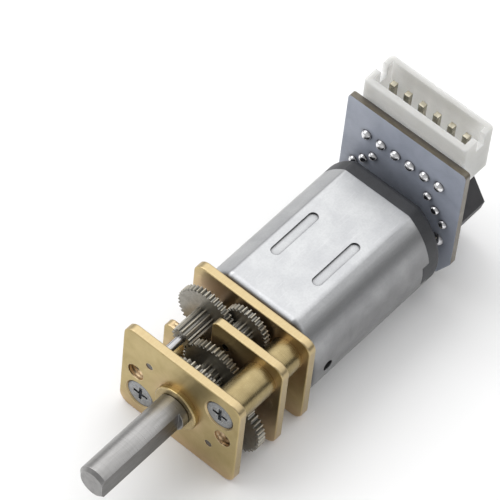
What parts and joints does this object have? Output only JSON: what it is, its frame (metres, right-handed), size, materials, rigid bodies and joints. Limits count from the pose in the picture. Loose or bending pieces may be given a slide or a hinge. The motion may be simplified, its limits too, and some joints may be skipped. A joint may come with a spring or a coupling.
{
  "type": "geared dc motor",
  "caption": "Small brushed motor with a five-stage open brass gearbox, a D-cut output shaft and a quadrature encoder board with a right-angle header.",
  "frame": {"origin": "on the output shaft's axis, in the front face of the gearbox, midway between the two tapped mounting holes", "axes": "+X out along the output shaft, +Z out of the upper flat of the motor can, +Y completes a right-handed frame"},
  "size_m": [0.0421, 0.0121, 0.0167],
  "materials": {
    "plate_brass": "satin rolled brass with bright sheared edges",
    "turned_brass": "turned brass, fine lathe lines",
    "bush_brass": "machined brass",
    "gear_steel": "dark oiled steel, brighter tooth tips",
    "shaft_steel": "ground steel",
    "pin_steel": "bright drawn steel",
    "screw_nickel": "nickel plated steel",
    "can_nickel": "satin nickel plated deep drawn steel",
    "cap_plastic": "moulded black plastic",
    "sintered_bronze": "sintered bronze",
    "ferrite": "ferrite magnet",
    "core_steel": "stacked steel laminations",
    "enamelled_copper": "enamelled copper wire",
    "bare_copper": "bare copper",
    "washer_plastic": "moulded plastic",
    "spring_bronze": "spring bronze strip",
    "tinned_metal": "tin plated brass",
    "board_mask": "grey-blue solder mask on glass fibre board",
    "connector_nylon": "natural white nylon",
    "solder": "bright solder",
    "sensor_epoxy": "moulded black epoxy",
    "disc_magnet": "plastic bonded magnet",
    "chip_ceramic": "thick film chip",
    "chip_capacitor": "ceramic chip"
  },
  "bodies": {
    "frame": {"brushes": "spring_bronze", "chip_capacitor": "chip_capacitor", "chip_resistors": "chip_ceramic", "circuit_board": "board_mask", "connector_housing": "connector_nylon", "connector_joints": "solder", "connector_pins": "tinned_metal", "end_cap": "cap_plastic", "first_idler_pin": "pin_steel", "front_bearing": "sintered_bronze", "front_plate": "plate_brass", "front_spacers": "turned_brass", "gearbox_screws": "screw_nickel", "hall_sensors": "sensor_epoxy", "idler_pin_a": "pin_steel", "idler_pin_b": "pin_steel", "left_field_magnet": "ferrite", "middle_plate": "plate_brass", "motor_can": "can_nickel", "motor_screws": "screw_nickel", "motor_terminals": "tinned_metal", "output_bush": "bush_brass", "rear_bearing": "sintered_bronze", "rear_plate": "plate_brass", "rear_spacers": "turned_brass", "right_field_magnet": "ferrite", "sensor_joints": "solder", "sensor_legs": "tinned_metal", "terminal_joints": "solder"},
    "rotor": {"rotor_shaft": "shaft_steel", "rotor_core": "core_steel", "rotor_windings": "enamelled_copper", "commutator": "bare_copper", "commutator_core": "cap_plastic", "rotor_washers": "washer_plastic", "motor_pinion": "gear_steel", "magnet_disc": "disc_magnet", "disc_hub": "bush_brass"},
    "first_idler": {"first_idler_gear": "gear_steel"},
    "idler_a": {"idler_gear_a": "gear_steel"},
    "centre_idler": {"centre_idler_gear": "gear_steel"},
    "idler_b": {"idler_gear_b": "gear_steel"},
    "output": {"output_shaft": "shaft_steel", "output_gear": "gear_steel"}
  },
  "joints": [
    {"name": "rotor_spin", "type": "hinge", "parent": "frame", "child": "rotor", "pos_m": [-0.02, 0, 0], "axis": [1, 0, 0], "continuous": true},
    {"name": "first_idler_spin", "type": "hinge", "parent": "frame", "child": "first_idler", "pos_m": [-0.0071, 0.0002, 0.00284], "axis": [1, 0, 0], "continuous": true},
    {"name": "idler_a_spin", "type": "hinge", "parent": "frame", "child": "idler_a", "pos_m": [-0.0052, -0.0032, 0.00205], "axis": [1, 0, 0], "continuous": true},
    {"name": "centre_idler_spin", "type": "hinge", "parent": "frame", "child": "centre_idler", "pos_m": [-0.0036, 0, 0], "axis": [1, 0, 0], "continuous": true},
    {"name": "idler_b_spin", "type": "hinge", "parent": "frame", "child": "idler_b", "pos_m": [-0.0024, 0.0032, -0.00205], "axis": [1, 0, 0], "continuous": true},
    {"name": "output_spin", "type": "hinge", "parent": "frame", "child": "output", "pos_m": [0, 0, 0], "axis": [1, 0, 0], "continuous": true}
  ],
  "couplings": [
    {"joint": "first_idler_spin", "follows": "rotor_spin", "ratio": -0.4},
    {"joint": "idler_a_spin", "follows": "rotor_spin", "ratio": 0.12},
    {"joint": "centre_idler_spin", "follows": "rotor_spin", "ratio": -0.034286},
    {"joint": "idler_b_spin", "follows": "rotor_spin", "ratio": 0.012308},
    {"joint": "output_spin", "follows": "rotor_spin", "ratio": -0.0044755}
  ]
}
